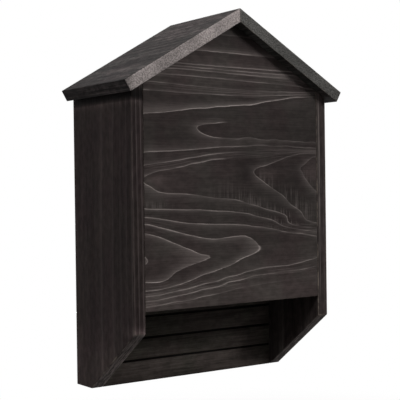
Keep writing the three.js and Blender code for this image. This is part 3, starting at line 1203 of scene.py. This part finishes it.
class ScrewMaker:
    """Geometry Nodes tree that puts a countersunk cross-recess screw on each point, driven along -Y."""

    def __init__(self) -> None:
        """Build the tree: head, rim, threaded shank and tip as one solid, with the recess taken out."""
        takes = {
            "Head Radius": 0.004,
            "Rim": 0.0006,
            "Shank Radius": 0.002,
            "Length": 0.032,
            "Tip Length": 0.004,
            "Thread Pitch": 0.0018,
            "Thread Depth": 0.0004,
            "Threaded Share": 0.8,
            "Recess Span": 0.0044,
            "Recess Width": 0.001,
            "Recess Depth": 0.0022,
            "Facets": 32,
            "Turn Steps": 14,
            "Seed": 5,
        }
        maker = GeometryTree("countersunk_screws", takes)
        take = maker.take
        cone_depth = take["Head Radius"] - take["Shank Radius"]
        cone_foot = (take["Rim"] + cone_depth) * -1.0
        overlap = take["Rim"] * 0.5
        root = take["Shank Radius"] - take["Thread Depth"]
        shank_foot = take["Tip Length"] - take["Length"]
        shank_length = cone_foot - shank_foot + overlap

        def turned(top: object, bottom: object, depth: Wire, foot: Wire) -> Wire:
            """Closed cone or cylinder standing at a height."""
            feeds = {"Vertices": take["Facets"], "Radius Top": top, "Radius Bottom": bottom, "Depth": depth}
            return maker.lifted(maker.node("GeometryNodeMeshCone", feeds, fill_type="NGON")["Mesh"], foot)

        rim = turned(take["Head Radius"], take["Head Radius"], take["Rim"], take["Rim"] * -1.0)
        head = turned(take["Head Radius"], root, cone_depth + overlap * 0.5, cone_foot)
        shank = turned(root, root, shank_length, shank_foot)
        tip = turned(root, 0.0, take["Tip Length"] + overlap, take["Length"] * -1.0)
        threaded = shank_length * take["Threaded Share"]
        feeds = {
            "Resolution": take["Turn Steps"],
            "Rotations": threaded / take["Thread Pitch"],
            "Start Radius": root,
            "End Radius": root,
            "Height": threaded,
        }
        helix = maker.node("GeometryNodeCurveSpiral", feeds)["Curve"]
        feeds = {"Resolution": 4, "Radius": take["Thread Depth"]}
        ridge = maker.node("GeometryNodeCurvePrimitiveCircle", feeds)[0]
        thread = maker.lifted(maker.swept(helix, ridge), shank_foot + overlap)
        solid = maker.joined("UNION", {"Mesh 2": [rim, head, shank, tip, thread]})
        span, width, depth = take["Recess Span"], take["Recess Width"], take["Recess Depth"] * 2.0
        bars = [maker.block(span, width, depth), maker.block(width, span, depth)]
        screw = maker.joined("DIFFERENCE", {"Mesh 1": solid, "Mesh 2": bars})
        feeds = {2: 0.0, 3: QUARTER_TURN, "Seed": take["Seed"]}
        spin = maker.xyz(z=maker.node("FunctionNodeRandomValue", feeds)[1])
        driven = maker.on_points(take["Geometry"], screw, (-QUARTER_TURN, 0.0, 0.0))
        feeds = {"Instances": driven, "Rotation": spin, "Local Space": True}
        self.tree = maker.finished(maker.node("GeometryNodeRotateInstances", feeds)[0])


class StripCutter:
    """Geometry Nodes tree that stands a strip with rounded arrises on each point."""

    def __init__(self) -> None:
        """Build the tree: a rounded section drawn up to the strip's height."""
        takes = {"Width": 0.01, "Depth": 0.022, "Height": 0.23, "Arris": 0.0006, "Arris Steps": 3}
        maker = GeometryTree("spacer_strips", takes)
        take = maker.take
        top = take["Height"] * 0.5
        feeds = {"Start": maker.xyz(z=top * -1.0), "End": maker.xyz(z=top)}
        rail = maker.node("GeometryNodeCurvePrimitiveLine", feeds)[0]
        feeds = {"Width": take["Width"], "Height": take["Depth"]}
        section = maker.node("GeometryNodeCurvePrimitiveQuadrilateral", feeds)[0]
        feeds = {
            "Curve": section,
            "Radius": take["Arris"],
            "Count": take["Arris Steps"],
            "Limit Radius": True,
        }
        rounded = maker.node("GeometryNodeFilletCurve", feeds, mode="POLY")[0]
        self.tree = maker.finished(maker.on_points(take["Geometry"], maker.swept(rail, rounded)))


@dataclass(frozen=True)
class Kerfs:
    """Sizes of the kerfs that give a hold, at an even pitch from the foot of the box."""

    depth: float
    pitch: float = 0.028
    width: float = 0.003
    arris: float = 0.00035


@dataclass
class BoardBench:
    """Where boards are made: copies a solid, eases its arrises, grids its faces and hands in the piece."""

    wood: StainedWood
    saw: KerfSaw
    least_arris: float = 0.005
    border_room: float = 1.2
    made: list[bpy.types.Object] = field(default_factory=list)

    def merged(self, mesh: bpy.types.Mesh) -> bmesh.types.BMesh:
        """Copy a mesh without doubled points or lines between coplanar faces.

        Args:
            mesh: The mesh, left as it is.

        Returns:
            The new shape.
        """
        shape = bmesh.new()
        shape.from_mesh(mesh)
        for layer in list(shape.loops.layers.uv.values()):
            shape.loops.layers.uv.remove(layer)
        bmesh.ops.remove_doubles(shape, verts=shape.verts[:], dist=MERGE_DISTANCE)
        bmesh.ops.dissolve_limit(shape, angle_limit=COPLANAR, verts=shape.verts[:], edges=shape.edges[:])
        return shape

    def ease_arrises(self, shape: bmesh.types.BMesh, radius: float, reach: float, segments: int = 2) -> None:
        """Round the arrises a little and mark how near each point is to one.

        Args:
            shape: The board, changed in place.
            radius: How far the rounding cuts back each face.
            reach: How far the mark fades over each face, or 0 for no mark.
            segments: Facets across the rounding.
        """
        sharp = [edge for edge in shape.edges if self._is_arris(edge)]
        round_off = {"profile": 0.5, "affect": "EDGES", "clamp_overlap": True}
        rounded = bmesh.ops.bevel(shape, geom=sharp, offset=radius, segments=segments, **round_off)["faces"]
        if not reach:
            return
        around = set(rounded)
        flats = [face for face in shape.faces if face not in around and self._takes_border(face, reach)]
        bmesh.ops.inset_individual(shape, faces=flats, thickness=reach, use_even_offset=True)
        arris = shape.verts.layers.float.new("arris")
        for face in rounded:
            for vert in face.verts:
                vert[arris] = 1.0

    def _is_arris(self, edge: bmesh.types.BMEdge) -> bool:
        """Whether an edge is sharp and long enough to be rounded."""
        long = edge.is_manifold and edge.calc_length() > self.least_arris
        return long and edge.calc_face_angle(0) > SHORT_OF_FLAT

    def _takes_border(self, face: bmesh.types.BMFace, reach: float) -> bool:
        """Whether a face is wide enough for a border."""
        return face.calc_area() > self.border_room * reach * face.calc_perimeter()

    def eased(self, node: str, radius: float, reach: float = 0.0) -> bmesh.types.BMesh:
        """Copy a node's solid and ease its arrises.

        Args:
            node: Name of the node.
            radius: How far the rounding cuts back each face.
            reach: How far the mark fades over each face, or 0 for no mark.

        Returns:
            The new shape.
        """
        shape = self.merged(bpy.data.objects[node].data)
        self.ease_arrises(shape, radius, reach)
        return shape

    def grid(self, shape: bmesh.types.BMesh, spacing: float, directions: tuple[Place, ...]) -> None:
        """Cut a shape along even planes, so that a pattern on its points comes out fine.

        Args:
            shape: The board, changed in place.
            spacing: Distance between planes.
            directions: Normals of the sets of planes.
        """
        for direction in directions:
            normal = Vector(direction)
            reaches = [vert.co.dot(normal) for vert in shape.verts]
            count = int((max(reaches) - min(reaches)) / spacing)
            for index in range(1, count + 1):
                plane = {"plane_co": normal * (min(reaches) + index * spacing), "plane_no": normal}
                whole = shape.verts[:] + shape.edges[:] + shape.faces[:]
                bmesh.ops.bisect_plane(shape, geom=whole, dist=MERGE_DISTANCE, **plane)

    def kerfed(
        self, node: str, blank: bmesh.types.BMesh, kerfs: Kerfs, faces: tuple[float, ...]
    ) -> bmesh.types.BMesh:
        """Saw kerfs across a board and ease its arrises.

        Args:
            node: Name of the node that it follows.
            blank: The board before it is sawn, which is used up.
            kerfs: Sizes of the kerfs.
            faces: Where the sawn faces lie along y.

        Returns:
            The new shape.
        """
        low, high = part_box(node)
        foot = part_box("left_side_panel")[0].z
        first = math.ceil((low.z + kerfs.width - foot) / kerfs.pitch)
        last = math.ceil((high.z - kerfs.width - foot) / kerfs.pitch) - 1
        mesh = settled(node, blank)
        for face in faces:
            sizes = {
                "First Height": foot + first * kerfs.pitch,
                "Count": last - first + 1,
                "Pitch": kerfs.pitch,
                "Width": kerfs.width,
                "Depth": kerfs.depth,
                "Length": 2 * (high.x - low.x),
                "Face": face,
            }
            mesh = run_tree(mesh, self.saw.tree, sizes)
        shape = self.merged(mesh)
        self.ease_arrises(shape, kerfs.arris, 0.0, segments=1)
        return shape

    def piece(self, name: str, shape: bmesh.types.BMesh, finish: StainFinish, node: str) -> bpy.types.Mesh:
        """Turn a shape into a finished piece that stands for its node.

        Args:
            name: Name of the piece.
            shape: Its shape, which is used up.
            finish: Its stain.
            node: Name of the node that it stands for.

        Returns:
            The piece's mesh.
        """
        for face in shape.faces:
            face.smooth = True
        mesh = settled(name, shape)
        self.hand_in(name, mesh, self.wood.material(finish), finish.slot, node)
        return mesh

    def repeated(
        self,
        name: str,
        tree: bpy.types.NodeTree,
        sizes: dict[str, float],
        places: list[Vector],
        material: bpy.types.Material,
        slot: str,
        nodes: list[str],
    ) -> None:
        """Put the same shape on each of some places and hand all of them in as one piece.

        Args:
            name: Name of the piece.
            tree: Tree that puts the shape on points.
            sizes: Values for the tree's inputs, by name.
            places: Where the points lie.
            material: Material of the piece.
            slot: Not used.
            nodes: Names of the nodes that it stands for.
        """
        points = bpy.data.meshes.new(f"{name}_places")
        points.from_pydata([tuple(place) for place in places], [], [])
        mesh = run_tree(points, tree, sizes | {"Finish": material})
        self.hand_in(name, mesh, material, slot, *nodes)

    def hand_in(
        self, name: str, mesh: bpy.types.Mesh, material: bpy.types.Material, slot: str, *nodes: str
    ) -> None:
        """Place a finished mesh on the body in place of its nodes and report it.

        Args:
            name: Name of the piece.
            mesh: Its mesh.
            material: Its only material.
            slot: Not used.
            nodes: Names of the nodes that it stands for.
        """
        mesh.materials.clear()
        mesh.materials.append(material)
        made = put_in_scene(name, mesh)
        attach(made, BODY)
        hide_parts(*nodes)
        self.made.append(made)
        log.info("%s: %d faces, for %s", name, len(mesh.polygons), ", ".join(nodes))


def middle_of(node: str) -> Vector:
    """Middle of a node's box."""
    low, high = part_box(node)
    return (low + high) / 2


@dataclass
class Housing:
    """The side panels, the gabled front panel and the kerfed back panel that ends as the landing board."""

    bench: BoardBench
    arris: float = 0.0006
    arris_reach: float = 0.0018
    fine_spacing: float = 0.0025
    coarse_spacing: float = 0.006
    kerfs: Kerfs = Kerfs(depth=0.0025)
    kerf_stain_and_shade: float = 3.0

    def build(self) -> None:
        """Build and dress each board."""
        self._side("left_side", "left_side_panel", SIDE_LEFT, SIDE_LEFT_MARKS)
        self._side("right_side", "right_side_panel", SIDE_RIGHT, SIDE_RIGHT_MARKS)
        self._front("front_panel")
        self._back("back_panel")

    def _side(self, name: str, node: str, finish: StainFinish, marks: Marks) -> None:
        """Build one side panel, its marks laid from its rear edge to its front one.

        Args:
            name: Name of the piece.
            node: Node that it stands for.
            finish: Its stain.
            marks: Its marks.
        """
        low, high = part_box(node)
        shape = self.bench.eased(node, self.arris, self.arris_reach)
        self.bench.grid(shape, self.coarse_spacing, ((0, 1, 0), (0, 0, 1)))
        mesh = self.bench.piece(name, shape, finish, node)
        write_marks(mesh, marks, face_shares(mesh, high, low, (1, 2)))

    def _front_shares(self, mesh: bpy.types.Mesh, low: Vector, high: Vector) -> np.ndarray:
        """Shares of a board's box as the front shows it, from its upper left corner."""
        return face_shares(mesh, Vector((low.x, 0, high.z)), Vector((high.x, 0, low.z)), (0, 2))

    def _front(self, node: str) -> None:
        """Build the front panel, gridded finely enough to carry its own growth figure.

        Args:
            node: Node that it stands for.
        """
        low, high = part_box(node)
        shape = self.bench.eased(node, self.arris, self.arris_reach)
        self.bench.grid(shape, self.fine_spacing, ((1, 0, 0), (0, 0, 1)))
        mesh = self.bench.piece("front_board", shape, FRONT, node)
        shares = self._front_shares(mesh, low, high)
        lines = FRONT_GROWTH_LINES + FRONT_GROWTH_HOLDS
        GrowthFigure(lines, high.x - low.x, high.z - low.z).mark(mesh, shares)
        write_marks(mesh, FRONT_MARKS, shares)

    def _gabled_blank(self, low: Vector, high: Vector) -> bmesh.types.BMesh:
        """Make a gabled board that is still to be sawn.

        Args:
            low: Lowest corner of its box.
            high: Highest corner of its box.

        Returns:
            The new shape.
        """
        eave = high.z - high.x * math.tan(ROOF_PITCH)
        outline = [(low.x, low.z), (high.x, low.z), (high.x, eave), (0, high.z), (low.x, eave)]
        blank = bmesh.new()
        face = blank.faces.new([blank.verts.new((x, low.y, z)) for x, z in outline])
        drawn = bmesh.ops.extrude_face_region(blank, geom=[face])["geom"]
        rear = [item for item in drawn if isinstance(item, bmesh.types.BMVert)]
        bmesh.ops.translate(blank, verts=rear, vec=(0, high.y - low.y, 0))
        bmesh.ops.recalc_face_normals(blank, faces=blank.faces[:])
        return blank

    def _back(self, node: str) -> None:
        """Build the back panel, with its kerfs on the front, darkened inside by pooled stain and painted
        shade, and with painted light and shade across its lower part.

        Args:
            node: Node that it stands for.
        """
        low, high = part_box(node)
        shape = self.bench.kerfed(node, self._gabled_blank(low, high), self.kerfs, (low.y,))
        mesh = self.bench.piece("landing_board", shape, LANDING, node)
        depths = [vert.co.y - low.y for vert in mesh.vertices]
        # Inside the kerfs the tone drops: partly stain pooled there, partly painted shade of the recess.
        sunk = np.array([self.kerfs.arris * 2 < depth < self.kerfs.depth * 2 for depth in depths])
        shift = patch_marks(LANDING_PATCHES, self._front_shares(mesh, low, high))
        write_mark(mesh, "stain_shift", shift - self.kerf_stain_and_shade * sunk)


@dataclass
class Roof:
    """The two roof boards, mitred at the ridge."""

    bench: BoardBench
    arris: float = 0.0005
    arris_reach: float = 0.0018
    spacing: float = 0.006

    def build(self) -> None:
        """Build and dress each board."""
        self._board("left_roof", "left_roof_board", ROOF_LEFT, ROOF_LEFT_MARKS)
        self._board("right_roof", "right_roof_board", ROOF_RIGHT, {})

    def _board(self, name: str, node: str, finish: StainFinish, marks: Marks) -> None:
        """Build one board, its marks laid from its left edge.

        Args:
            name: Name of the piece.
            node: Node that it stands for.
            finish: Its stain.
            marks: Its marks.
        """
        shape = self.bench.eased(node, self.arris, self.arris_reach)
        self.bench.grid(shape, self.spacing, ((1, 0, 0), (0, 1, 0)))
        mesh = self.bench.piece(name, shape, finish, node)
        write_marks(mesh, marks, face_shares(mesh, *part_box(node), (0, 1)))


@dataclass
class Roost:
    """The kerfed partitions inside, and the strips that hold them apart."""

    bench: BoardBench
    strips: StripCutter
    kerfs: Kerfs = Kerfs(depth=0.002)

    def build(self) -> None:
        """Build and dress the partitions and the strips."""
        self._partition("front_divider", "front_partition", PARTITION_FRONT)
        self._partition("rear_divider", "rear_partition", PARTITION_REAR)
        self._strips()

    def _partition(self, name: str, node: str, finish: StainFinish) -> None:
        """Build one partition, kerfed on both faces.

        Args:
            name: Name of the piece.
            node: Node that it stands for.
            finish: Its stain.
        """
        low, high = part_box(node)
        blank = bmesh.new()
        bmesh.ops.create_cube(blank, size=1.0)
        bmesh.ops.transform(blank, matrix=Matrix.Diagonal((*(high - low), 1)), verts=blank.verts[:])
        bmesh.ops.translate(blank, vec=(low + high) / 2, verts=blank.verts[:])
        shape = self.bench.kerfed(node, blank, self.kerfs, (low.y, high.y))
        self.bench.piece(name, shape, finish, node)

    def _strips(self) -> None:
        """Build the six spacer strips as one piece, since they share a shape."""
        nodes = [f"{side}_{gap}_spacer" for side in ("left", "right") for gap in ("front", "middle", "rear")]
        low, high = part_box(nodes[0])
        sizes = dict(zip(("Width", "Depth", "Height"), high - low))
        material = self.bench.wood.material(SPACER)
        places = [middle_of(node) for node in nodes]
        self.bench.repeated("spacer_strips", self.strips.tree, sizes, places, material, SPACER.slot, nodes)


@dataclass
class WallFixing:
    """The bevelled hanging cleat, the lower batten and the screws that hold them to the back panel."""

    bench: BoardBench
    screws: ScrewMaker
    zinc: ZincFinish
    arris: float = 0.0007

    def build(self) -> None:
        """Build and dress the rails and the screws."""
        for name, node, finish in (("cleat", "hanging_cleat", CLEAT), ("batten", "lower_batten", BATTEN)):
            self.bench.piece(name, self.bench.eased(node, self.arris), finish, node)
        nodes = [f"cleat_screw_{number}" for number in range(1, 5)]
        nodes += [f"batten_screw_{side}" for side in ("left", "right")]
        heads = [Vector((middle_of(node).x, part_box(node)[1].y, middle_of(node).z)) for node in nodes]
        low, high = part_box(nodes[0])
        sizes = {"Head Radius": (high.x - low.x) / 2, "Length": high.y - low.y}
        material = self.zinc.material()
        self.bench.repeated("wood_screws", self.screws.tree, sizes, heads, material, self.zinc.slot, nodes)


@dataclass(frozen=True)
class Softbox:
    """Square lamp that faces the object."""

    name: str
    place: Place
    size: float
    share: float

    def set_up(self, aim: Vector) -> None:
        """Place the lamp so that it adds its share of a plain light level at the aim.

        Args:
            aim: Where it points.
        """
        lamp = bpy.data.lights.new(self.name, "AREA")
        lamp.shape = "SQUARE"
        lamp.size = self.size
        beam = aim - Vector(self.place)
        lamp.energy = self.share * (math.pi * beam.length) ** 2
        made = put_in_scene(self.name, lamp)
        made.location = self.place
        made.rotation_euler = beam.to_track_quat("-Z", "Y").to_euler()


@dataclass(frozen=True)
class Viewpoint:
    """Where the photograph was taken from."""

    aim: Place = (-0.03678, -0.11581, -0.0985)
    distance: float = 1.27981
    from_left: float = math.radians(35.3558)
    downward: float = math.radians(0.6532)
    roll: float = math.radians(-0.7409)
    focal_share: float = 2.54018
    sensor: float = 36.0

    def set_up(self) -> None:
        """Create the camera and make it the scene's."""
        lens = bpy.data.cameras.new("camera")
        lens.sensor_width = self.sensor
        lens.lens = self.sensor * self.focal_share
        camera = put_in_scene("camera", lens)
        turned = Matrix.Translation(self.aim) @ Matrix.Rotation(-self.from_left, 4, "Z")
        tilted = turned @ Matrix.Rotation(QUARTER_TURN - self.downward, 4, "X")
        back = Matrix.Translation((0, 0, self.distance))
        camera.matrix_world = tilted @ Matrix.Rotation(self.roll, 4, "Z") @ back
        bpy.context.scene.camera = camera


@dataclass
class Studio:
    """Plain white studio: soft lamps, an even world and a pale floor below the hanging box."""

    viewpoint: Viewpoint = field(default_factory=Viewpoint)
    lamp_aim: Place = (0.0, -0.08, -0.1)
    sky_level: float = 0.34
    ground_level: float = 0.085
    horizon_reach: float = 0.35
    floor_drop: float = 0.25
    floor_size: float = 8.0
    floor_tone: Tone = (225, 225, 225)
    floor_bounce_tone: Tone = (92, 92, 92)
    shadow_reach: float = 0.5
    white_reach: float = 1.2
    softboxes: tuple[Softbox, ...] = (
        Softbox("key", (1.08, -1.6, 0.82), 0.55, 1.0),
        Softbox("top", (-0.3, 0.2, 1.9), 0.9, 0.55),
        Softbox("fill", (-1.7, -0.8, 0.75), 0.35, 0.36),
        Softbox("back", (0.7, 1.9, -0.45), 0.6, 0.8),
    )

    def set_up(self) -> None:
        """Create the camera, the lamps, the world and the floor."""
        bpy.context.scene.view_settings.view_transform = "Standard"
        self.viewpoint.set_up()
        for softbox in self.softboxes:
            softbox.set_up(Vector(self.lamp_aim))
        self._world()
        self._floor()

    def _seen(self, maker: TreeMaker) -> Wire:
        """Tell apart the rays that show the background, from the camera or by way of gloss or glass.

        Args:
            maker: Maker of the nodes.

        Returns:
            1 for those rays and 0 for the others.
        """
        path = maker.node("ShaderNodeLightPath")
        shown = path["Is Camera Ray"] + path["Is Glossy Ray"]
        return maker.math("ADD", shown, path["Is Transmission Ray"], clamp=True)

    def _world(self) -> None:
        """White where it is seen, and an even level elsewhere."""
        world = bpy.data.worlds.new("studio")
        bpy.context.scene.world = world
        maker = surface_nodes(world)
        up = maker.node("ShaderNodeSeparateXYZ", {0: maker.node("ShaderNodeTexCoord")["Generated"]})["Z"]
        level = maker.ramp(up, -self.horizon_reach, self.horizon_reach, self.ground_level, self.sky_level)
        strength = maker.ramp(self._seen(maker), 0.0, 1.0, start=level)
        light = maker.node("ShaderNodeBackground", {"Color": WHITE, "Strength": strength})[0]
        maker.node("ShaderNodeOutputWorld", {"Surface": light})

    def _floor_material(self) -> bpy.types.Material:
        """Build the floor's material: it keeps the shadow, fades to white and is clear from below.

        Returns:
            The new material.
        """
        made = bpy.data.materials.new("pale_floor")
        maker = surface_nodes(made)
        away = maker.measure("LENGTH", maker.stretch(maker.node("ShaderNodeTexCoord")["Object"], along=0.0))
        seen = self._seen(maker)
        tone = maker.blend(seen, linear(self.floor_bounce_tone), linear(self.floor_tone))
        matte = maker.node("ShaderNodeBsdfDiffuse", {"Color": tone})[0]
        white = maker.node("ShaderNodeEmission", {"Color": WHITE, "Strength": 1.0})[0]
        share = maker.ramp(away, self.shadow_reach, self.white_reach) * seen
        upper = maker.node("ShaderNodeMixShader", {0: share, 1: matte, 2: white})[0]
        below = maker.node("ShaderNodeNewGeometry")["Backfacing"]
        clear = maker.node("ShaderNodeBsdfTransparent")[0]
        surface = maker.node("ShaderNodeMixShader", {0: below, 1: upper, 2: clear})[0]
        maker.node("ShaderNodeOutputMaterial", {"Surface": surface})
        return made

    def _floor(self) -> None:
        """Lay the floor some way below the box."""
        shape = bmesh.new()
        bmesh.ops.create_grid(shape, x_segments=1, y_segments=1, size=self.floor_size / 2)
        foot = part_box("left_side_panel")[0].z
        bmesh.ops.translate(shape, vec=(0, 0, foot - self.floor_drop), verts=shape.verts[:])
        floor = put_in_scene("floor", settled("floor", shape))
        floor.data.materials.append(self._floor_material())


def main() -> None:
    """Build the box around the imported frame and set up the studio."""
    logging.basicConfig(level=logging.INFO, format="%(message)s")
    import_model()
    bench = BoardBench(StainedWood(WoodEffects()), KerfSaw())
    Housing(bench).build()
    Roof(bench).build()
    Roost(bench, StripCutter()).build()
    WallFixing(bench, ScrewMaker(), ZincFinish()).build()
    Studio().set_up()
    bpy.context.view_layer.update()
    log.info("%d pieces", len(bench.made))


if __name__ == "__main__":
    main()
